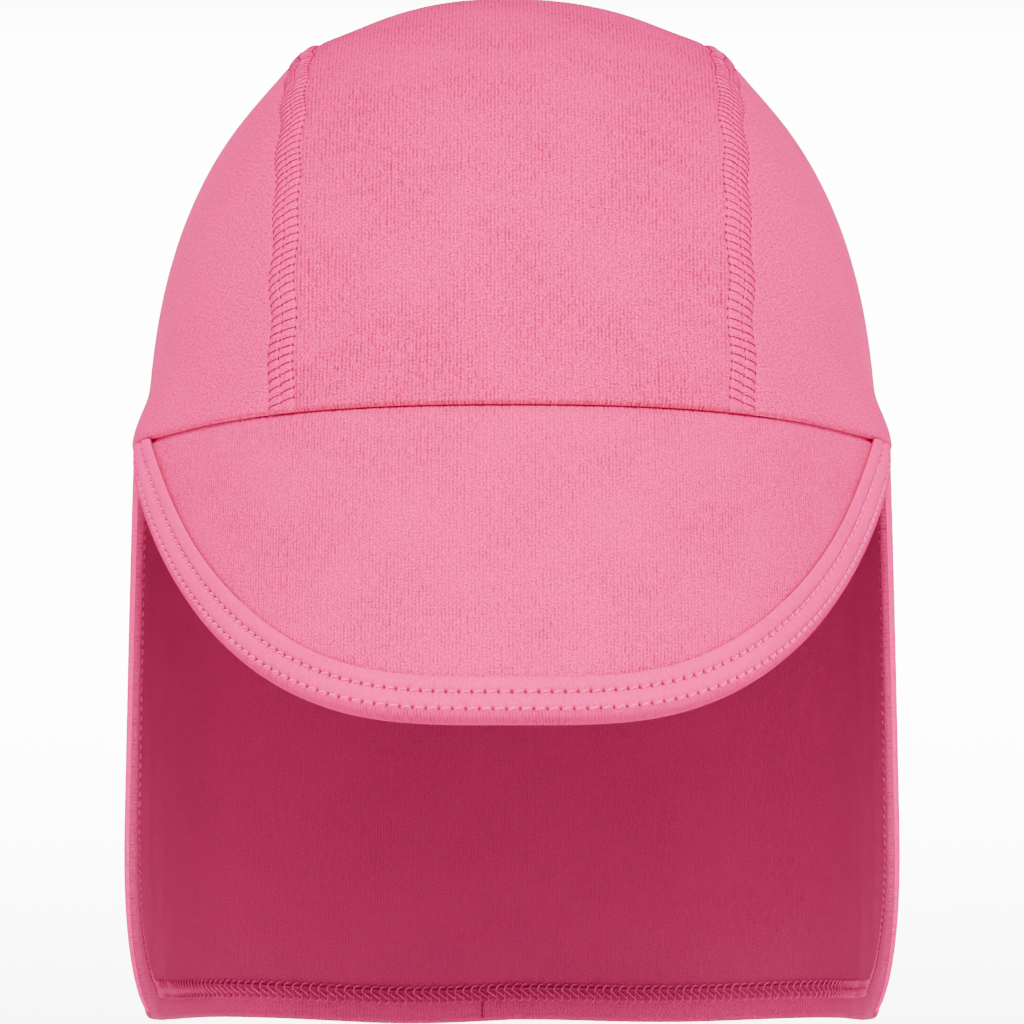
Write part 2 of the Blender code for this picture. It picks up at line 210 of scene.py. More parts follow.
# Painted shade: the cloth's pink darkened inside the flap, less than the hem where the raised loops catch
# light
HEM_THREAD_PINK = "D03876"
FUZZ_PINK = "FF7CAA"
FLOOR_PAINT = "FAFAFA"

# Surface of knit and thread. Fibre scatters light, so almost nothing shines and a faint fuzz shows
KNIT_ROUGHNESS = 0.9
KNIT_SHEEN = 0.025
THREAD_ROUGHNESS = 0.7
THREAD_SHEEN = 0.05
CLOTH_SPECULAR = 0.02
PATCHES_PER_METRE = 55.0
STRANDS_PER_METRE = 6000.0

# Grids of the cloth pieces: steps across and along
CENTRE_GRID = (76, 380)
SIDE_GRID = (190, 80)
BAND_COLUMNS = 16
BAND_ROWS_PER_STITCH = 6
PEAK_GRID = (190, 90)
BINDING_STEPS_PER_STITCH = 10
FLAP_GRID = (330, 116)
HEM_GRID = (760, 18)

# Camera: what the photograph's framing gives
CAMERA_ELEVATION = math.radians(9.0)
CAMERA_DISTANCE = 1.5
CAMERA_AIM_UP = -0.0093
VIEW_WIDTH = 0.2048
SENSOR = 0.036
FLOOR_BELOW = 0.160

# Lights. Columns: name, place, what it is aimed at, size, power in watts, spread in degrees
LIGHTS = (
    ("key", (0.10, -1.5, 1.6), (0.0, 0.0, 0.0), 0.9, 94.0, 180.0),
    ("left_fill", (-1.6, -1.0, 0.6), (0.0, 0.0, 0.0), 1.2, 20.0, 180.0),
    ("right_fill", (1.6, -1.0, 0.6), (0.0, 0.0, 0.0), 1.2, 17.0, 180.0),
    ("floor_light", (0.0, 2.7, 1.0), (0.0, 2.7, 0.0), 3.8, 680.0, 80.0),
)
SURROUND_STRENGTH = 0.65

DOME_SIZES = (HALF_WIDTH, HALF_LENGTH, CROWN_HEIGHT)
RIM_NORMAL = Vector((0.0, math.sin(RIM_TILT), math.cos(RIM_TILT)))
SHORT_STEP = 0.002
GRID_SHARE = 1.0


# Shapes of the solids


def smooth_fall(share):
    """1 at a share of 0, easing to 0 at a share of 1."""
    left = min(1.0, max(0.0, 1.0 - share))
    return left * left * (3.0 - 2.0 * left)


def onto_rim(point, below=0.0):
    """Drops a point straight onto the rim's plane, or onto one that lies below it."""
    return point - RIM_NORMAL * (point.dot(RIM_NORMAL) + below)


def seam_place(turn):
    """Sideways place of the panel seam at a turn about the X axis, 0 being level ahead."""
    waver = math.sin(SEAM_WAVES * turn) + 0.5 * math.sin(SEAM_WAVES * 0.61 * turn + 1.0)
    return SEAM_OUT + SEAM_TAPER * math.cos(turn) + SEAM_WAVER * waver


def plain_dome(turn, x):
    """Point of the plain dome at a turn about X and a sideways place, with no roll, flare or ridge."""
    spread = abs(math.cos(turn) / HALF_LENGTH) ** DOME_POWER
    spread += abs(math.sin(turn) / CROWN_HEIGHT) ** DOME_POWER
    across = min(1.0, abs(x) / HALF_WIDTH)
    reach = ((1.0 - across**DOME_POWER) / spread) ** (1.0 / DOME_POWER)
    return Vector((x, -reach * math.cos(turn), reach * math.sin(turn)))


def dome_normal(point):
    """Outward normal of the plain dome."""
    slope = [
        math.copysign((abs(value) / size) ** (DOME_POWER - 1.0) / size, value)
        for value, size in zip(point, DOME_SIZES)
    ]
    return Vector(slope).normalized()


def crown_point(turn, x, depth=0.0):
    """Point of the crown at a turn about X and a sideways place, at a depth inside its face."""
    point = plain_dome(turn, x)
    normal = dome_normal(point)
    fall = smooth_fall(point.dot(RIM_NORMAL) / ROLL_HEIGHT)
    flare = PEAK_FLARE * math.exp(-(((point.y + PEAK_END_AHEAD) / FLARE_REACH) ** 2))
    tent = max(0.0, 1.0 - abs(abs(x) - seam_place(turn)) / RIDGE_REACH)
    if fall > 0.0:
        level = normal - RIM_NORMAL * normal.dot(RIM_NORMAL)
        point += level.normalized() * (EDGE_ROLL + flare) * fall
    point += normal * SEAM_RIDGE * tent**2 * (1.0 - fall)
    return point - normal * depth


def plain_rim(angle):
    """Turn and sideways place of the rim at an angle from the front centre, positive to +X."""
    x = math.copysign(abs(math.sin(angle)) ** (2.0 / DOME_POWER), math.sin(angle)) * HALF_WIDTH
    return (RIM_TILT if math.cos(angle) > 0.0 else math.pi + RIM_TILT), x


def rim_point(angle):
    """Outer edge of the crown's opening at an angle from the front centre."""
    return onto_rim(crown_point(*plain_rim(angle)))


RIM_ANGLES = np.linspace(-math.pi, math.pi, 1441)
RIM_POINTS = np.array([rim_point(angle) for angle in RIM_ANGLES])
RIM_STEPS = np.linalg.norm(np.diff(RIM_POINTS, axis=0), axis=1)
RIM_HALF = float(RIM_STEPS.sum() / 2.0)
RIM_LENGTHS = np.concatenate(([0.0], np.cumsum(RIM_STEPS))) - RIM_HALF
AHEAD_OF_EAR = (RIM_ANGLES >= 0.0) & (RIM_ANGLES <= math.pi / 2.0)
PEAK_HALF_ROOT = float(np.interp(-PEAK_END_AHEAD, RIM_POINTS[AHEAD_OF_EAR, 1], RIM_LENGTHS[AHEAD_OF_EAR]))
FLAP_HALF = RIM_HALF - PEAK_HALF_ROOT - 2.0 * (BINDING_WALL + GAP)


@functools.lru_cache(maxsize=None)
def rim_at(length):
    """Point and level outward direction of the rim, by the length walked from the front centre."""
    angle = float(np.interp(length, RIM_LENGTHS, RIM_ANGLES))
    along = rim_point(angle + SHORT_STEP) - rim_point(angle - SHORT_STEP)
    return rim_point(angle), along.cross(RIM_NORMAL).normalized()


@functools.lru_cache(maxsize=None)
def peak_root(length):
    """Where the peak's top face starts, just under the crown's edge."""
    point, outward = rim_at(length)
    return onto_rim(point - outward * PEAK_INSET, GAP)


PEAK_END_OUT = abs(peak_root(PEAK_HALF_ROOT).x)


@functools.lru_cache(maxsize=None)
def peak_reach(length):
    """How far the peak reaches from its root there."""
    across = min(1.0, abs(peak_root(length).x) / PEAK_END_OUT)
    return PEAK_LENGTH * (1.0 - across**OUTLINE_SIDE_POWER) ** (1.0 / OUTLINE_REACH_POWER)


def peak_point(length, reach):
    """Point of the peak's top face: the root moved ahead and down along an arc."""
    radius = PEAK_LENGTH / (DROOP_AT_EDGE - DROOP_AT_ROOT)
    droop = DROOP_AT_ROOT + reach / radius
    ahead = radius * (math.sin(droop) - math.sin(DROOP_AT_ROOT))
    down = radius * (math.cos(DROOP_AT_ROOT) - math.cos(droop))
    return peak_root(length) - Vector((0.0, ahead, down))


def peak_slope(reach):
    """Direction in which the peak runs out at a reach from its root."""
    droop = DROOP_AT_ROOT + (DROOP_AT_EDGE - DROOP_AT_ROOT) * reach / PEAK_LENGTH
    return Vector((0.0, -math.cos(droop), -math.sin(droop)))


def peak_normal(length, reach):
    """Normal of the peak's top face."""
    step = SHORT_STEP / 4.0
    along = peak_root(length + step) - peak_root(length - step)
    return peak_slope(reach).cross(along).normalized()


def slide_to_root(point, slope):
    """Moves a point along the peak's slope onto the plane where the peak starts."""
    return point - slope * ((point.dot(RIM_NORMAL) + GAP) / slope.dot(RIM_NORMAL))


def outline_length(share):
    """Rim length of the peak's outline at a share from -1 to 1, with more steps near its ends."""
    return PEAK_HALF_ROOT * math.sin(share * math.pi / 2.0)


def outline_point(share):
    """Edge of the peak's top face at a share from -1 to 1."""
    length = outline_length(share)
    return peak_point(length, peak_reach(length))


def binding_point(share, inward, height, lift=0.0):
    """Point of the binding, measured in from the peak's edge along its top face and up from that face."""
    length = outline_length(share)
    reach = peak_reach(length)
    before = outline_length(max(-1.0, share - SHORT_STEP * 5.0))
    after = outline_length(min(1.0, share + SHORT_STEP * 5.0))
    step = (after - before, peak_reach(after) - peak_reach(before))
    along = (peak_root(length + SHORT_STEP) - peak_root(length - SHORT_STEP)).normalized()
    skew = along.dot(peak_slope(reach))
    across = (step[1] + skew * step[0], -step[0] - skew * step[1])
    size = math.sqrt(across[0] ** 2 + across[1] ** 2 + 2.0 * skew * across[0] * across[1])
    length += across[0] / size * inward
    reach += across[1] / size * inward - lift
    return peak_point(length, reach) + peak_normal(length, reach) * height


def flap_plan(top):
    """Plan of the flap's lower edge under a point of its upper edge."""
    if top.y < 0.0:
        out = FLAP_HALF_WIDTH - FRONT_FLARE * top.y
        return Vector((math.copysign(out, top.x), top.y, 0.0))
    size = (abs(top.x) / FLAP_HALF_WIDTH) ** FLAP_POWER + (top.y / FLAP_HALF_DEPTH) ** FLAP_POWER
    return Vector((top.x, top.y, 0.0)) / size ** (1.0 / FLAP_POWER)


@functools.lru_cache(maxsize=None)
def flap_column(along):
    """One hanging line of the flap: its top, its plan below, the swell of its folds and its stretch."""
    edge, outward = rim_at(math.copysign(RIM_HALF - abs(along), along))
    top = onto_rim(edge - outward * FLAP_INSET, GAP)
    low = flap_plan(top)
    outward = Vector((outward.x, outward.y, 0.0)).normalized()
    swell = sum(
        depth * FLAP_LENGTH * math.exp(-(((along / FLAP_HALF - where) / width) ** 2))
        for where, depth, width in FLAP_FOLDS
    )
    stretch = 1.0 + FRONT_DROP * abs(along / FLAP_HALF) ** DROP_POWER
    return top, Vector((low.x, low.y, top.z)), outward * swell, stretch


def flap_face(along, drop):
    """Outer face of the flap at a length along it from the centre back and a length down from the rim."""
    top, low, swell, stretch = flap_column(along)
    share = max(0.0, drop / FLAP_LENGTH)
    point = top.lerp(low, share**SPREAD_POWER) + swell * share**FOLD_POWER
    point.z -= drop * stretch
    return point


def flap_point(along, drop, depth):
    """Point at a depth inside the flap's outer face."""
    step = SHORT_STEP / 2.0
    across = flap_face(along + step, drop) - flap_face(along - step, drop)
    down = flap_face(along, drop + step) - flap_face(along, max(0.0, drop - step))
    inward = across.cross(down).normalized()
    face = flap_face(along, drop)
    if inward.dot(Vector((face.x, face.y, 0.0))) > 0.0:
        inward.negate()
    return face + inward * depth


def flap_drop(along):
    """Length of the flap there, shorter in its round corners."""
    into_corner = max(0.0, abs(along) - (FLAP_HALF - FLAP_CORNER))
    return FLAP_LENGTH - FLAP_CORNER + math.sqrt(max(0.0, FLAP_CORNER**2 - into_corner**2))


def flap_edge_distance(along, drop):
    """Distance from a place on the flap to its cut edge."""
    from_front = FLAP_HALF - abs(along)
    from_bottom = FLAP_LENGTH - drop
    if from_front < FLAP_CORNER and from_bottom < FLAP_CORNER:
        return FLAP_CORNER - math.hypot(FLAP_CORNER - from_front, FLAP_CORNER - from_bottom)
    return min(from_front, from_bottom)


HEM_SIDE = FLAP_LENGTH - FLAP_CORNER
HEM_CORNER = FLAP_CORNER * math.pi / 2.0
HEM_BOTTOM = 2.0 * (FLAP_HALF - FLAP_CORNER)
HEM_LENGTH = 2.0 * (HEM_SIDE + HEM_CORNER) + HEM_BOTTOM


def hem_path(walked):
    """The flap's cut edge and its inward direction, by the length walked from the left front edge."""
    if walked > HEM_LENGTH / 2.0:
        along, drop, inward = hem_path(HEM_LENGTH - walked)
        return -along, drop, (-inward[0], inward[1])
    if walked <= HEM_SIDE:
        return -FLAP_HALF, walked, (1.0, 0.0)
    if walked <= HEM_SIDE + HEM_CORNER:
        angle = (walked - HEM_SIDE) / FLAP_CORNER
        inward = (math.cos(angle), -math.sin(angle))
        return -FLAP_HALF + FLAP_CORNER * (1.0 - inward[0]), HEM_SIDE - FLAP_CORNER * inward[1], inward
    return -FLAP_HALF + FLAP_CORNER + walked - HEM_SIDE - HEM_CORNER, FLAP_LENGTH, (0.0, -1.0)


# Helpers for cloth and thread


def crowded(share, crowd):
    """A share from 0 to 1, with the steps near both ends made short."""
    return share - crowd * math.sin(2.0 * math.pi * share) / (2.0 * math.pi)


def round_off(distance, radius):
    """How far a face has sunk at a distance from its rounded edge."""
    short = max(0.0, radius - distance)
    return radius - math.sqrt(max(0.0, radius * radius - short * short))


def bell(distance, reach):
    """1 at a distance of 0, fading to 0 past the reach."""
    return math.exp(-((distance / reach) ** 2))


def even_table(curve, low, high, count):
    """A curve's parameters and the lengths walked along it."""
    values = np.linspace(low, high, count)
    points = np.array([curve(value) for value in values])
    lengths = np.concatenate(([0.0], np.cumsum(np.linalg.norm(np.diff(points, axis=0), axis=1))))
    return values, lengths


def finish_piece(name, bm, materials, smooth_angle=60.0):
    """Turns a bmesh into a piece that rides on the cap's body."""
    mesh = bpy.data.meshes.new(name)
    bm.to_mesh(mesh)
    bm.free()
    mesh.shade_smooth()
    mesh.set_sharp_from_angle(angle=math.radians(smooth_angle))
    for made in materials:
        mesh.materials.append(made)
    piece = bpy.data.objects.new(name, mesh)
    bpy.context.scene.collection.objects.link(piece)
    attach(piece, "root")
    return piece


def cloth_slab(name, columns, rows, place, lay, materials):
    """A closed sheet of cloth: a flat slab bent by place(column, row, 0 on its face or 1 on its back).

    lay(column, row) gives the flat cloth's place for the knit. A second material goes on the back.
    """
    columns = max(4, round(columns * GRID_SHARE))
    rows = max(4, round(rows * GRID_SHARE))
    bm = bmesh.new()
    bmesh.ops.create_grid(bm, x_segments=columns, y_segments=rows, size=1.0)
    bmesh.ops.solidify(bm, geom=bm.faces[:], thickness=1.0)
    knit = bm.loops.layers.uv.new("cloth")
    shares = {}
    for vert in bm.verts:
        column = round((vert.co.x + 1.0) / 2.0 * columns) / columns
        row = round((vert.co.y + 1.0) / 2.0 * rows) / rows
        shares[vert] = (column, row, round(-vert.co.z), lay(column, row))
    for face in bm.faces:
        if len(materials) > 1 and any(shares[vert][2] == 1 for vert in face.verts):
            face.material_index = 1
        for loop in face.loops:
            loop[knit].uv = shares[loop.vert][3]
    for vert, (column, row, depth, _) in shares.items():
        vert.co = place(column, row, depth)
    bmesh.ops.remove_doubles(bm, verts=bm.verts[:], dist=GAP / 100.0)
    if bm.calc_volume(signed=True) < 0.0:
        bmesh.ops.reverse_faces(bm, faces=bm.faces[:])
    return finish_piece(name, bm, materials)


def thread_stitches(name, runs, thickness, made, sides=6):
    """Short threads with closed round ends. Each run is a list of (point, up), the same number in all."""
    rings = len(runs[0])
    stations = len(runs) * rings
    bm = bmesh.new()
    bmesh.ops.create_grid(bm, x_segments=stations - 1, y_segments=sides, size=1.0)
    knit = bm.loops.layers.uv.new("cloth")
    between = []
    for face in bm.faces:
        low = min(vert.co.x for vert in face.verts)
        if round((low + 1.0) / 2.0 * (stations - 1)) % rings == rings - 1:
            between.append(face)
        for loop in face.loops:
            loop[knit].uv = (loop.vert.co.x, loop.vert.co.y * thickness)
    for vert in bm.verts:
        station = round((vert.co.x + 1.0) / 2.0 * (stations - 1))
        turn = (vert.co.y + 1.0) * math.pi
        run = runs[station // rings]
        ring = station % rings
        point, up = run[ring]
        ahead = run[min(ring + 1, rings - 1)][0] - run[max(ring - 1, 0)][0]
        side = ahead.cross(up).normalized()
        up = side.cross(ahead).normalized()
        place = ring / (rings - 1) * 2.0 - 1.0
        radius = thickness / 2.0 * math.sqrt(max(0.0, 1.0 - place**4))
        vert.co = point + (side * math.cos(turn) + up * math.sin(turn)) * radius
    bmesh.ops.delete(bm, geom=between, context="FACES_ONLY")
    bmesh.ops.remove_doubles(bm, verts=bm.verts[:], dist=thickness / 200.0)
    bmesh.ops.recalc_face_normals(bm, faces=bm.faces[:])
    return finish_piece(name, bm, [made])


# Materials


def linear(code):
    """A linear colour from an sRGB hex value."""
    parts = [int(code[place : place + 2], 16) / 255.0 for place in (0, 2, 4)]
    return (*[part / 12.92 if part <= 0.04045 else ((part + 0.055) / 1.055) ** 2.4 for part in parts], 1.0)


def add_node(tree, kind, inputs, **settings):
    """Adds a node with its settings. An input is a value, or the socket that feeds it."""
    made = tree.nodes.new(kind)
    for name, value in settings.items():
        setattr(made, name, value)
    for key, value in inputs.items():
        if isinstance(value, bpy.types.NodeSocket):
            tree.links.new(value, made.inputs[key])
        else:
            made.inputs[key].default_value = value
    return made


def add_math(tree, operation, *inputs, **settings):
    """Adds a node that calculates with values or sockets."""
    return add_node(tree, "ShaderNodeMath", dict(enumerate(inputs)), operation=operation, **settings)


def add_noise(tree, place, scale, detail=2.0, roughness=0.5):
    """Adds a noise that varies with the place that feeds it."""
    inputs = {"Vector": place, "Scale": scale, "Detail": detail, "Roughness": roughness}
    return add_node(tree, "ShaderNodeTexNoise", inputs)


def add_range(tree, value, low, high, to_low, to_high):
    """Adds a node that stretches one range of a socket onto another."""
    inputs = {"Value": value, "From Min": low, "From Max": high, "To Min": to_low, "To Max": to_high}
    return add_node(tree, "ShaderNodeMapRange", inputs)


def start_material(name, roughness, sheen):
    """A cloth or thread material with its shader, its constants set on the shader's own sockets."""
    made = bpy.data.materials.new(name)
    made.use_nodes = True
    tree = made.node_tree
    shader = tree.nodes["Principled BSDF"]
    shader.inputs["Roughness"].default_value = roughness
    shader.inputs["IOR"].default_value = 1.5
    shader.inputs["Specular IOR Level"].default_value = CLOTH_SPECULAR
    shader.inputs["Sheen Weight"].default_value = sheen
    shader.inputs["Sheen Roughness"].default_value = 0.6
    shader.inputs["Sheen Tint"].default_value = linear(FUZZ_PINK)
    return made, tree, shader


def knit_material(
    name, light, dark, wale=0.0007, slant=0.0, contrast=0.5, grain=0.35, depth=0.00006, holes=False
):
    """Warp-knit polyamide and elastane: fine ribs (wales) that catch the light, matt, with a soft sheen.

    The wale is given in metres. The real one is about 0.5 mm, and it is drawn at up to 0.85 mm where
    the render would lose it. The cloth's own map runs across the wales in X and along them in Y.
    Where a needle has pulled the cloth in, the map called holes mixes in painted shade.
    """
    made, tree, shader = start_material(name, KNIT_ROUGHNESS, KNIT_SHEEN)
    cloth = add_node(tree, "ShaderNodeUVMap", {}, uv_map="cloth").outputs["UV"]
    split = add_node(tree, "ShaderNodeSeparateXYZ", {0: cloth})
    across = add_math(tree, "MULTIPLY_ADD", split.outputs[1], slant, split.outputs[0])
    streak_place = add_node(
        tree, "ShaderNodeVectorMath", {0: cloth, 1: (1.0 / wale, 0.32 / wale, 1.0)}, operation="MULTIPLY"
    )
    streak = add_noise(tree, streak_place.outputs[0], 0.9, roughness=0.6)
    wander = add_math(tree, "MULTIPLY_ADD", streak.outputs[0], 1.6, -0.8)
    turns = add_math(tree, "MULTIPLY_ADD", across.outputs[0], 2.0 * math.pi / wale, wander.outputs[0])
    wave = add_math(tree, "SINE", turns.outputs[0])
    rib = add_math(tree, "MULTIPLY_ADD", wave.outputs[0], 0.5, 0.5)
    loops = add_noise(tree, cloth, 1.8 / wale, detail=3.0, roughness=0.7)
    patch = add_noise(tree, cloth, PATCHES_PER_METRE)
    patch_share = add_range(tree, patch.outputs[0], 0.35, 0.65, 0.35, 1.0)
    streak_share = add_range(tree, streak.outputs[0], 0.35, 0.7, 0.1, 1.0)
    rib_dark = add_math(tree, "MULTIPLY", rib.outputs[0], streak_share.outputs[0])
    rib_patch = add_math(tree, "MULTIPLY", rib_dark.outputs[0], patch_share.outputs[0])
    rib_part = add_math(tree, "MULTIPLY", rib_patch.outputs[0], contrast)
    loop_share = add_range(tree, loops.outputs[0], 0.42, 0.75, 0.0, grain)
    mixing = add_math(tree, "ADD", rib_part.outputs[0], loop_share.outputs[0], use_clamp=True)
    shades = {"Factor": mixing.outputs[0], 6: linear(light), 7: linear(dark)}
    colour = add_node(tree, "ShaderNodeMix", shades, data_type="RGBA")
    if holes:
        hole_map = add_node(tree, "ShaderNodeUVMap", {}, uv_map="holes")
        hole = add_node(tree, "ShaderNodeSeparateXYZ", {0: hole_map.outputs["UV"]})
        shade = add_range(tree, hole.outputs[0], 0.25, 0.8, 0.0, 0.9)
        shades = {"Factor": shade.outputs[0], 6: colour.outputs[2], 7: linear(HOLE_SHADE)}
        colour = add_node(tree, "ShaderNodeMix", shades, data_type="RGBA")
    height = add_math(tree, "MULTIPLY_ADD", rib.outputs[0], -0.6, loops.outputs[0])
    relief = {"Strength": 0.5, "Distance": depth, "Height": height.outputs[0]}
    bump = add_node(tree, "ShaderNodeBump", relief)
    tree.links.new(colour.outputs[2], shader.inputs["Base Color"])
    tree.links.new(bump.outputs[0], shader.inputs["Normal"])
    return made


def thread_material(name, code):
    """Textured polyester thread, soft and matt, in one dyed colour with faint strands."""
    made, tree, shader = start_material(name, THREAD_ROUGHNESS, THREAD_SHEEN)
    where = add_node(tree, "ShaderNodeTexCoord", {})
    strands = add_noise(tree, where.outputs["Object"], STRANDS_PER_METRE)
    tint = add_range(tree, strands.outputs[0], 0.3, 0.7, 0.82, 1.08)
    colour = add_node(
        tree, "ShaderNodeMix", {"Factor": 1.0, 6: linear(code), 7: tint.outputs[0]},
        data_type="RGBA", blend_type="MULTIPLY",
    )
    tree.links.new(colour.outputs[2], shader.inputs["Base Color"])
    return made


# Warp knit pulled tight over the head: its ribs open, so they and the grain show most
CROWN_KNIT = knit_material("polyamide_knit_crown", CROWN_PINK, CROWN_SHADE, contrast=0.85, grain=1.1)
# The same knit turned aside: its ribs are seen at a slant and nearly merge
SIDE_KNIT = knit_material("polyamide_knit_side", CROWN_PINK, CROWN_SHADE, contrast=0.3, grain=0.95)
# The same knit laid over the flat core of the peak: smooth, with even ribs
PEAK_KNIT = knit_material("polyamide_knit_peak", PEAK_PINK, PEAK_SHADE, contrast=0.7, grain=1.0)
# A strip cut across the ribs at a slant: they cross it, and each needle hole is a dip with painted shade
BINDING_KNIT = knit_material(
    "polyamide_knit_binding_on_the_bias", PEAK_PINK, PEAK_SHADE, wale=0.00056, slant=-0.45,
    contrast=0.55, grain=0.2, depth=0.00015, holes=True,
)
# The strip stretched round the peak's edge: its ribs gape and look deeper, and its darker pink is painted
# shade
ROLL_KNIT = knit_material(
    "polyamide_knit_binding_roll_painted_shade", ROLL_PINK, PEAK_SHADE, wale=0.00060, slant=-0.1,
    contrast=1.0, grain=0.15, depth=0.00022, holes=True,
)
# The same knit hanging slack: closed ribs, almost plain
FLAP_KNIT = knit_material("polyamide_knit_flap", CROWN_PINK, CROWN_SHADE, wale=0.00085, contrast=0.35)
# The back of the knit, away from the light: duller, in a deeper pink that is painted shade.
# The same painted shade goes on the flap's down-turned fold, the hem's stitch zone and the binding's crease
PAINTED_SHADE_KNIT = knit_material(
    "polyamide_knit_back_painted_shade", FLAP_INSIDE, FLAP_INSIDE_SHADE, wale=0.0006, contrast=0.3, grain=0.6
)
# The knit turned up, so that its outer side faces in: between the two in colour, its pink darkened with
# painted shade
HEM_KNIT = knit_material("polyamide_knit_hem", HEM_PINK, FLAP_INSIDE_SHADE, contrast=0.35, grain=0.6)
# Thread that covers the flat seams, pulled down into the cloth: darker than the cloth, a deeper pink with
# painted shade of its grooves
SEAM_THREADS = thread_material("polyester_covering_thread", SEAM_THREAD_PINK)
# Twisted thread of the binding's rows, raised on the strip: paler than the cloth
PALE_THREADS = thread_material("polyester_topstitch_thread", PALE_THREAD_PINK)
# Bulky, untwisted thread of the coverstitch: soft loops a little paler than the hem, in the cloth's pink
# darkened with painted shade
HEM_THREADS = thread_material("polyester_looper_thread", HEM_THREAD_PINK)



# Crown


def soft_dent(turn, x):
    """Slow rise and fall of cloth that isn't stretched quite evenly."""
    wave = math.sin(2.6 * turn + 31.0 * x + 0.7) * math.sin(4.1 * turn - 58.0 * x)
    wave += 0.7 * math.sin(5.3 * turn + 83.0 * x + 1.9)
    return SOFT_DENT * wave


def crown_cloth(turn, x, depth):
    """Point of the crown's cloth, dipping at the seams and rounded off at the rim."""
    if depth:
        return crown_point(turn, x, CROWN_WALL)
    from_seam = max(0.0, abs(abs(x) - seam_place(turn)) - BAND_SPAN / 2.0)
    from_rim = max(0.0, plain_dome(turn, x).dot(RIM_NORMAL))
    sunk = round_off(from_rim, EDGE_ROUND) + SEAM_DIP * bell(from_seam, SEAM_DIP_REACH)
    dent = soft_dent(turn, x) * (1.0 - bell(from_seam, 0.004)) * (1.0 - bell(from_rim, 0.005))
    return crown_point(turn, x, sunk + dent)


def band_edge(turn, side):
    """Sideways place of the inner (-1) or outer (1) edge of the seam band."""
    return seam_place(turn) + side * BAND_SPAN / 2.0


CENTRE_TURNS, CENTRE_LENGTHS = even_table(
    lambda turn: plain_dome(turn, 0.0), RIM_TILT, RIM_TILT + math.pi, 600
)


def make_centre_panel():
    """The long panel from the peak over the top to the nape."""

    def spot(column, row):
        turn = RIM_TILT + math.pi * crowded(row, 0.9)
        return turn, (crowded(column, 0.85) * 2.0 - 1.0) * band_edge(turn, -1)

    def lay(column, row):
        turn, x = spot(column, row)
        return x, float(np.interp(turn, CENTRE_TURNS, CENTRE_LENGTHS))

    def place(column, row, depth):
        point = crown_cloth(*spot(column, row), depth)
        return onto_rim(point, GAP) if row in (0.0, 1.0) else point

    piece = cloth_slab("crown_cloth_centre", *CENTRE_GRID, place, lay, [CROWN_KNIT, PAINTED_SHADE_KNIT])
    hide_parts("crown_centre_panel")
    return piece


def make_side_panel(name, side):
    """A half-moon panel between the seam and the rim, on the side given by its sign."""
    front = math.asin((band_edge(RIM_TILT, 1) / HALF_WIDTH) ** (DOME_POWER / 2.0))
    back = math.pi - math.asin((band_edge(math.pi + RIM_TILT, 1) / HALF_WIDTH) ** (DOME_POWER / 2.0))

    def spot(column, row):
        share = 0.65 * column + 0.35 * smooth_fall(1.0 - column)
        turn = RIM_TILT + math.pi * share
        seam = plain_dome(turn, band_edge(turn, 1))
        rim = plain_dome(*plain_rim(front + (back - front) * share))
        toward = seam.lerp(rim, crowded(row, 0.9))
        size = sum((abs(value) / half) ** DOME_POWER for value, half in zip(toward, DOME_SIZES))
        base = toward / size ** (1.0 / DOME_POWER)
        return math.atan2(base.z, -base.y), base.x

    def lay(column, row):
        turn, x = spot(column, row)
        base = plain_dome(turn, x)
        return base.y, base.z

    def place(column, row, depth):
        point = crown_cloth(*spot(column, row), depth)
        if row == 1.0 or column in (0.0, 1.0):
            point = onto_rim(point, GAP)
        point.x *= side
        return point

    piece = cloth_slab("crown_cloth_" + name, *SIDE_GRID, place, lay, [SIDE_KNIT, PAINTED_SHADE_KNIT])
    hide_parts("crown_side_panel_" + name)
    return piece


SEAM_TURNS, SEAM_LENGTHS = even_table(
    lambda turn: plain_dome(turn, seam_place(turn)), RIM_TILT, RIM_TILT + math.pi, 600
)
SEAM_LENGTH = float(SEAM_LENGTHS[-1])
SEAM_STITCHES = round(SEAM_LENGTH / SEAM_PITCH)


def rung_shift(stitch, cell, share):
    """Pitches that a rung is shifted along the seam, at a share from the middle line (0) to the edge (1)."""
    lean = 0.65 + 0.30 * math.sin(0.55 * stitch)
    if cell < 0:
        return lean * (0.60 * share + 0.05 * math.sin(math.pi * share))
    return lean * (-0.55 * share + 0.03 * math.sin(math.pi * share))


def band_height(stitch, across):
    """Height of the seam band over the crown, by the stitch count and the place across from -1 to 1."""
    cell = 1 if across > 0.0 else -1
    share = abs(across)
    pillow = math.sin(math.pi * share) ** 0.6 if 0.0 < share < 1.0 else 0.0
    off_rung = (stitch - rung_shift(stitch, cell, share) + 0.5) % 1.0 - 0.5
    pulled = 0.75 + 0.25 * math.sin(1.9 * math.floor(stitch)) * math.sin(0.37 * stitch)
    groove = bell(off_rung, 0.2) * (1.0 if cell < 0 else 0.75) * pulled
    edge = SEAM_DIP * share**6 + SEAM_DIP * 0.5 * (1.0 - share) ** 6
    return BAND_RISE * 0.85 * pillow * (1.0 - groove) - edge


def seam_turn(stitch):
    """Turn about the X axis at a stitch count along the seam."""
    return float(np.interp(stitch * SEAM_LENGTH / SEAM_STITCHES, SEAM_LENGTHS, SEAM_TURNS))


def band_spot(stitch, across, lift=0.0):
    """Point on the seam band at a stitch count and a place across, and the outward direction there."""
    turn = seam_turn(stitch)
    x = seam_place(turn) + across * BAND_SPAN / 2.0
    up = dome_normal(plain_dome(turn, x))
    return crown_point(turn, x, -band_height(stitch, across) - lift), up


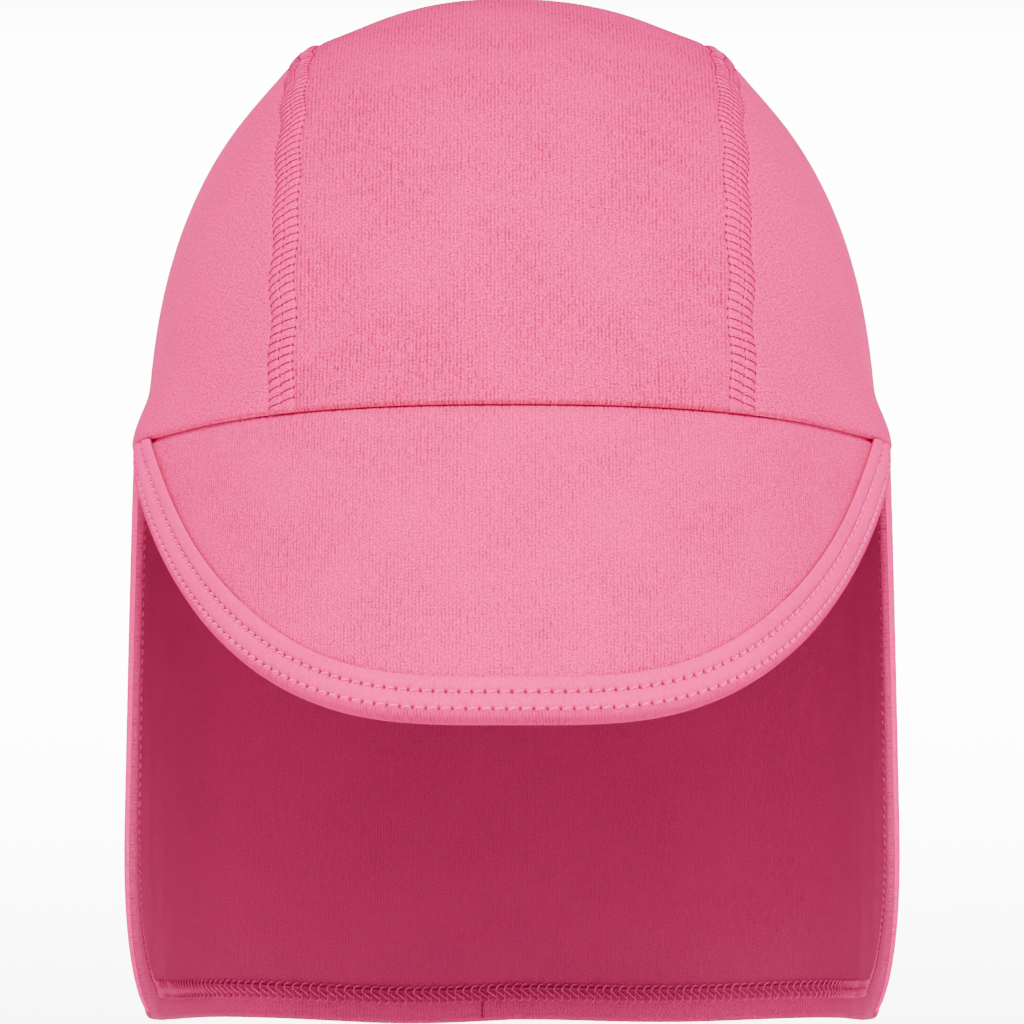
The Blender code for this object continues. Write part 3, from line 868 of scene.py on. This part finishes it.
def make_seam(name, side):
    """The raised flat seam: a puffed band crossed by covering threads between three needle lines."""

    def spot(column, row):
        across = crowded(column, 0.3) * 2.0 - 1.0
        return row * SEAM_STITCHES, across

    def lay(column, row):
        return column * BAND_SPAN, row * SEAM_LENGTH

    def place(column, row, depth):
        stitch, across = spot(column, row)
        point, up = band_spot(stitch, across)
        if depth:
            turn = seam_turn(stitch)
            point = crown_point(turn, seam_place(turn) + across * BAND_SPAN / 2.0, BAND_WALL - BAND_RISE)
        else:
            from_rim = max(0.0, point.dot(RIM_NORMAL))
            point -= up * round_off(from_rim, EDGE_ROUND)
        if row in (0.0, 1.0):
            point = onto_rim(point, GAP)
        point.x *= side
        return point

    rows = SEAM_STITCHES * BAND_ROWS_PER_STITCH
    band = cloth_slab("seam_cloth_" + name, BAND_COLUMNS, rows, place, lay, [SIDE_KNIT, PAINTED_SHADE_KNIT])
    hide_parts("flatlock_seam_" + name)

    def run(stitches, acrosses, lift):
        made = []
        for stitch, across in zip(stitches, acrosses):
            point, up = band_spot(stitch, across, lift)
            made.append((Vector((point.x * side, point.y, point.z)), Vector((up.x * side, up.y, up.z))))
        return made

    rungs = []
    needles = []
    shares = np.linspace(0.04, 0.97, THREAD_POINTS)
    dot = np.linspace(-0.22, 0.22, THREAD_POINTS)
    for count in range(1, SEAM_STITCHES - 1):
        for cell in (-1, 1):
            walked = [count + rung_shift(count, cell, share) for share in shares]
            rungs.append(run(walked, shares * cell, SEAM_THREAD * 0.15))
        for line in (-1, 0, 1):
            walked = count + rung_shift(count, line, abs(line)) + dot
            needles.append(run(walked, [line * 0.985] * THREAD_POINTS, SEAM_THREAD * 0.2))
    threads = [
        thread_stitches("seam_rungs_" + name, rungs, SEAM_THREAD, SEAM_THREADS, sides=5),
        thread_stitches("seam_needle_lines_" + name, needles, SEAM_THREAD * 1.15, SEAM_THREADS, sides=5),
    ]
    return [band, *threads]


# Peak


@functools.lru_cache(maxsize=None)
def outline_flat():
    """The peak's outline as points of length along the root and reach from it."""
    lengths = np.array([outline_length(share) for share in np.linspace(-1.0, 1.0, 600)])
    return np.stack([lengths, np.array([peak_reach(length) for length in lengths])], axis=1)


def make_peak():
    """The padded peak, softly swollen between its root and its binding, which presses a crease into it."""

    def spot(column, row):
        length = PEAK_HALF_ROOT * PEAK_CLOTH_SHARE * math.sin((column - 0.5) * math.pi)
        return length, crowded(row, 0.5) * peak_reach(length)

    def place(column, row, depth):
        length, reach = spot(column, row)
        whole = max(peak_reach(length), GAP)
        sink = depth * PEAK_WALL
        if depth == 0:
            sink -= PEAK_SWELL * math.sin(math.pi * min(1.0, reach / whole)) ** 0.7 * bell(length, 0.07)
            from_edge = float(np.linalg.norm(outline_flat() - (length, reach), axis=1).min())
            crease = CREASE_DIP * bell(from_edge - BINDING_WIDTH, 0.0007)
            sink += crease * (0.35 + 0.65 * min(1.0, abs(length) / 0.06)) + ROOT_DIP * bell(reach, 0.0011)
        point = peak_point(length, reach) - peak_normal(length, reach) * sink
        return slide_to_root(point, peak_slope(0.0)) if row == 0.0 else point

    piece = cloth_slab("peak_cloth", *PEAK_GRID, place, spot, [PEAK_KNIT])
    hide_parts("peak")
    return piece


OUTLINE_SHARES, OUTLINE_LENGTHS = even_table(outline_point, -1.0, 1.0, 1200)
OUTLINE_LENGTH = float(OUTLINE_LENGTHS[-1])
BINDING_STITCHES = round(OUTLINE_LENGTH / BINDING_PITCH)


def outline_share(stitch):
    """Share of the peak's outline at a stitch count."""
    return float(np.interp(stitch * OUTLINE_LENGTH / BINDING_STITCHES, OUTLINE_LENGTHS, OUTLINE_SHARES))


def corner_cut(section):
    """A closed section with each corner replaced by two points near it."""
    made = []
    for (x, y), (next_x, next_y) in zip(section, section[1:] + section[:1]):
        made.append((0.75 * x + 0.25 * next_x, 0.75 * y + 0.25 * next_y))
        made.append((0.25 * x + 0.75 * next_x, 0.25 * y + 0.75 * next_y))
    return made


def binding_section():
    """The binding's closed section: inward from the peak's edge, and height over the peak's top face."""
    under = -PEAK_WALL
    section = [(inward * BINDING_WIDTH, GAP + height * BINDING_WALL) for inward, height in BINDING_TOP]
    section.append((-GAP - 0.80 * BINDING_WALL, GAP + 0.45 * BINDING_WALL))
    section.append((-GAP - 1.15 * BINDING_WALL, under * 0.45))
    section.append((-GAP - 0.80 * BINDING_WALL, under - GAP - 0.35 * BINDING_WALL))
    section += [
        (inward * BINDING_WIDTH, under - GAP - height * BINDING_WALL) for inward, height in BINDING_UNDER
    ]
    section += [(-GAP, under - GAP), (-GAP, GAP), (BINDING_WIDTH / 3.0, GAP), (BINDING_WIDTH / 1.5, GAP)]
    return corner_cut(section)


def binding_pull(stitch, inward, height):
    """How much a needle hole pulls the binding's top in at a place on it, from 0 to 1."""
    if height < GAP + 0.1 * BINDING_WALL:
        return 0.0
    pull = 0.0
    for row, offset in zip(BINDING_ROWS, (0.0, 0.4)):
        hole = (stitch + offset + 0.5) % 1.0 - 0.5
        pull += bell(inward - row * BINDING_WIDTH, BINDING_WIDTH * 0.075) * bell(hole, 0.15)
    return pull


def make_binding():
    """The strip folded over the peak's edge, with two stitched channels on top, cut off at the rim."""
    stations = round(BINDING_STITCHES * BINDING_STEPS_PER_STITCH * GRID_SHARE)
    section = binding_section()
    walked = np.concatenate(([0.0], np.cumsum([
        math.dist(here, there) for here, there in zip(section, section[1:] + section[:1])
    ])))
    bm = bmesh.new()
    bmesh.ops.create_grid(bm, x_segments=stations + 2, y_segments=len(section), size=1.0)
    knit = bm.loops.layers.uv.new("cloth")
    spots = {}
    holes = bm.loops.layers.uv.new("holes")
    for vert in bm.verts:
        station = round((vert.co.x + 1.0) / 2.0 * (stations + 2)) - 1
        round_place = round((vert.co.y + 1.0) / 2.0 * len(section))
        stitch = min(stations, max(0, station)) / stations * BINDING_STITCHES
        inward, height = section[round_place % len(section)]
        spots[vert] = (station, round_place, stitch, inward, height, binding_pull(stitch, inward, height))
    for face in bm.faces:
        # Faces of the roll round the peak's edge get the roll's pink, darkened with painted shade
        if all(spots[vert][3] < 0.02 * BINDING_WIDTH for vert in face.verts):
            face.material_index = 1
        # Painted shade: the inner edge's faces away from the middle take the dark inside knit as the shaded
        # crease line
        if all(spots[vert][3] > 0.985 * BINDING_WIDTH for vert in face.verts):
            from_middle = max(abs(spots[vert][2] / BINDING_STITCHES - 0.5) for vert in face.verts)
            face.material_index = 2 if from_middle > 0.24 else 0
        for loop in face.loops:
            station, round_place, stitch, inward, height, pull = spots[loop.vert]
            loop[knit].uv = (station / stations * OUTLINE_LENGTH, float(walked[round_place]))
            # Painted shade in the needle holes, by how much each pulls in
            loop[holes].uv = (pull, 0.0)
    for vert, (station, round_place, stitch, inward, height, pull) in spots.items():
        if pull:
            height = max(height - BINDING_DIP * pull, GAP * 1.1)
        tuck = 1.0 - 0.6 * bell(min(stitch, BINDING_STITCHES - stitch), 3.0)
        height = GAP + (height - GAP) * tuck if height > GAP else height
        inward = -GAP + (inward + GAP) * tuck if inward < -GAP else inward
        lift = BINDING_WIDTH if station in (-1, stations + 1) else 0.0
        vert.co = binding_point(outline_share(stitch), inward, height, lift)
    bmesh.ops.remove_doubles(bm, verts=bm.verts[:], dist=GAP / 100.0)
    everything = bm.verts[:] + bm.edges[:] + bm.faces[:]
    cut = RIM_NORMAL * -GAP
    bmesh.ops.bisect_plane(bm, geom=everything, plane_co=cut, plane_no=RIM_NORMAL, clear_outer=True)
    bmesh.ops.remove_doubles(bm, verts=bm.verts[:], dist=GAP / 100.0)
    bmesh.ops.holes_fill(bm, edges=bm.edges[:], sides=0)
    bmesh.ops.recalc_face_normals(bm, faces=bm.faces[:])
    piece = finish_piece("binding_cloth", bm, [BINDING_KNIT, ROLL_KNIT, PAINTED_SHADE_KNIT])
    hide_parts("peak_binding")
    return piece


def make_binding_stitches():
    """Two rows of short slanted stitches along the binding."""
    runs = []
    for row, offset in zip(BINDING_ROWS, (0.0, 0.4)):
        for count in range(6, BINDING_STITCHES - 6):
            run = []
            for share in np.linspace(-0.40, 0.40, THREAD_POINTS):
                stitch = count + 0.5 - offset + share
                inward = row * BINDING_WIDTH + share * 0.0006
                height = GAP + BINDING_WALL * 0.40 + BINDING_THREAD * (1.0 - (share / 0.3) ** 2)
                along = outline_share(stitch)
                point = binding_point(along, inward, height)
                up = binding_point(along, inward, height + BINDING_WALL) - point
                run.append((point, up))
            runs.append(run)
    piece = thread_stitches("binding_stitches", runs, BINDING_THREAD, PALE_THREADS)
    return piece


# Neck flap


def make_flap():
    """The cloth that hangs from temple to temple round the back of the head, folded in at its edges."""

    def spot(column, row):
        along = FLAP_HALF * (crowded(column, 0.85) * 2.0 - 1.0)
        return along, crowded(row, 0.8) * flap_drop(along)

    def place(column, row, depth):
        along, drop = spot(column, row)
        from_edge = max(0.0, flap_edge_distance(along, drop))
        if depth:
            point = flap_point(along, drop, FLAP_WALL)
        else:
            sunk = min(FLAP_WALL, round_off(from_edge, FOLD_ROUND))
            for line in (COVER_LOW, COVER_HIGH):
                sunk += NEEDLE_DIP * bell(from_edge - line, 0.0007)
            point = flap_point(along, drop, min(sunk, FLAP_WALL))
        return onto_rim(point, GAP) if row == 0.0 else point

    piece = cloth_slab("flap_cloth", *FLAP_GRID, place, spot, [FLAP_KNIT, PAINTED_SHADE_KNIT])
    # Painted shade: faces turned down at the fold take the dark inside knit
    for face in piece.data.polygons:
        if face.normal.z < -0.85:
            face.material_index = 1
    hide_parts("neck_flap")
    return piece


def hem_face_depth(inward):
    """Depth of the hem's inner face inside the flap's outer face, by the distance from the folded edge.

    The coverstitch pulls the raw edge down, and past it the threads settle onto the flap.
    """
    face = FLAP_WALL + GAP + HEM_WALL - round_off(inward, FOLD_ROUND)
    pulled = 1.0 - smooth_fall((inward - 0.60 * HEM_WIDTH) / (0.40 * HEM_WIDTH))
    past = 1.0 - smooth_fall((inward - HEM_WIDTH) / FLAP_WALL * 2.0)
    return face - pulled * HEM_WALL * 0.85 - past * GAP


def hem_place(walked, inward):
    """Place on the flap by the length walked along its cut edge and the distance in from it."""
    along, drop, direction = hem_path(walked)
    return along + direction[0] * inward, drop + direction[1] * inward


def hem_spot(walked, inward, lift=0.0):
    """Point on the hem's inner face, and the direction off that face."""
    along, drop = hem_place(walked, inward)
    point = flap_point(along, drop, hem_face_depth(inward) + lift)
    return point, point - flap_point(along, drop, 0.0)


def make_hem():
    """The turned-up layer inside the flap, along its front edges and its lower edge."""

    def place(column, row, depth):
        inward = crowded(row, 0.8) * HEM_WIDTH
        walked = column * HEM_LENGTH
        if depth:
            under = min(FLAP_WALL + GAP / 3.0 + 0.00001, hem_face_depth(inward) - 0.00001)
            point = flap_point(*hem_place(walked, inward), under)
        else:
            point, outward = hem_spot(walked, inward)
            dip = NEEDLE_DIP * bell(inward - COVER_LOW, 0.0006)
            dip += HEM_JOIN_DIP * bell(hem_path(walked)[0] - HEM_JOIN_ALONG, 0.0004) * (walked > HEM_SIDE)
            point -= outward.normalized() * dip
        return onto_rim(point, GAP) if column in (0.0, 1.0) else point

    def lay(column, row):
        return column * HEM_LENGTH, crowded(row, 0.8) * HEM_WIDTH

    piece = cloth_slab("hem_cloth", *HEM_GRID, place, lay, [HEM_KNIT, PAINTED_SHADE_KNIT])
    flat = piece.data.uv_layers["cloth"].uv
    # Painted shade: the stitch zone past COVER_LOW takes the dark inside knit, as shade between the threads
    for face in piece.data.polygons:
        if min(flat[corner].vector.y for corner in face.loop_indices) > COVER_LOW:
            face.material_index = 1
    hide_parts("flap_hem")
    return piece


def hem_join_threads():
    """Threads on the line where the hem's two ends meet, from its fold to the coverstitch, dark with painted
    shade of the join.
    """
    walked = HEM_SIDE + HEM_CORNER + HEM_JOIN_ALONG + FLAP_HALF - FLAP_CORNER
    runs = []
    for low, high in HEM_JOIN_RUNS:
        runs.append([hem_spot(walked, inward) for inward in np.linspace(low, high, THREAD_POINTS)])
    return thread_stitches("hem_join_threads", runs, NEEDLE_THREAD, SEAM_THREADS, sides=5)


def make_hem_stitches():
    """Coverstitch: looped threads over the hem's raw edge inside, and two needle lines outside."""
    loops = []
    count = round(HEM_LENGTH / COVER_PITCH)
    for stitch in range(1, count - 2):
        for loop in COVER_LOOPS:
            run = []
            for across, up in loop:
                inward = COVER_LOW + (COVER_HIGH - COVER_LOW) * up
                run.append(hem_spot((stitch + across) * HEM_LENGTH / count, inward, COVER_THREAD * 0.25))
            loops.append(run)
    inside = thread_stitches("hem_coverstitch", loops, COVER_THREAD, HEM_THREADS, sides=5)
    lines = []
    count = round(HEM_LENGTH / NEEDLE_PITCH)
    for line in (COVER_LOW, COVER_HIGH):
        for stitch in range(2, count - 2):
            run = []
            for share in np.linspace(-0.4, 0.4, THREAD_POINTS):
                along, drop = hem_place((stitch + share) * HEM_LENGTH / count, line)
                point = flap_point(along, drop, NEEDLE_DIP * (1.0 - 0.6 * (1.0 - (share / 0.4) ** 2)))
                run.append((point, point - flap_point(along, drop, FLAP_WALL)))
            lines.append(run)
    outside = thread_stitches("hem_needle_lines", lines, NEEDLE_THREAD, SEAM_THREADS, sides=5)
    threads = [inside, outside, hem_join_threads()]
    return threads


# Studio


def make_floor():
    """Plain pale floor, far below and wide enough to fill the view."""
    bm = bmesh.new()
    bmesh.ops.create_grid(bm, x_segments=1, y_segments=1, size=30.0)
    bmesh.ops.translate(bm, verts=bm.verts[:], vec=(0.0, 0.0, CAD_BOX[0][2] - FLOOR_BELOW))
    mesh = bpy.data.meshes.new("floor")
    bm.to_mesh(mesh)
    bm.free()
    made = bpy.data.materials.new("painted_studio_floor")
    made.use_nodes = True
    shader = made.node_tree.nodes["Principled BSDF"]
    shader.inputs["Base Color"].default_value = linear(FLOOR_PAINT)
    shader.inputs["Roughness"].default_value = 0.9
    mesh.materials.append(made)
    floor = bpy.data.objects.new("floor", mesh)
    bpy.context.scene.collection.objects.link(floor)


def aim(thing, place, target):
    """Puts a light or the camera at a place, looking at a target."""
    thing.location = place
    thing.rotation_euler = (Vector(target) - Vector(place)).to_track_quat("-Z", "Y").to_euler()


def make_light(name, place, target, size, power, spread):
    """A soft square light aimed at a target."""
    data = bpy.data.lights.new(name, "AREA")
    data.size = size
    data.energy = power
    data.spread = math.radians(spread)
    light = bpy.data.objects.new(name, data)
    bpy.context.scene.collection.objects.link(light)
    aim(light, place, target)


def make_studio():
    """Soft light from above and the front, and a pale surround."""
    world = bpy.data.worlds.new("pale_surround")
    bpy.context.scene.world = world
    world.use_nodes = True
    background = world.node_tree.nodes["Background"]
    background.inputs["Color"].default_value = (1.0, 1.0, 1.0, 1.0)
    background.inputs["Strength"].default_value = SURROUND_STRENGTH
    for light in LIGHTS:
        make_light(*light)


def make_camera():
    """The camera at the photograph's angle and framing."""
    data = bpy.data.cameras.new("camera")
    data.sensor_width = SENSOR * 1000.0
    data.lens = SENSOR * 1000.0 * CAMERA_DISTANCE / VIEW_WIDTH
    data.clip_start = 0.05
    data.clip_end = 100.0
    camera = bpy.data.objects.new("camera", data)
    bpy.context.scene.collection.objects.link(camera)
    forward = Vector((0.0, math.cos(CAMERA_ELEVATION), -math.sin(CAMERA_ELEVATION)))
    up = Vector((0.0, math.sin(CAMERA_ELEVATION), math.cos(CAMERA_ELEVATION)))
    centre = up * CAMERA_AIM_UP
    aim(camera, centre - forward * CAMERA_DISTANCE, centre)
    bpy.context.scene.camera = camera


make_floor()
make_studio()
make_camera()
centre = make_centre_panel()
left = make_side_panel("left", -1.0)
right = make_side_panel("right", 1.0)
seams = make_seam("left", -1.0) + make_seam("right", 1.0)
peak = make_peak()
binding = make_binding()
binding_stitches = make_binding_stitches()
flap = make_flap()
hem = make_hem()
hem_threads = make_hem_stitches()
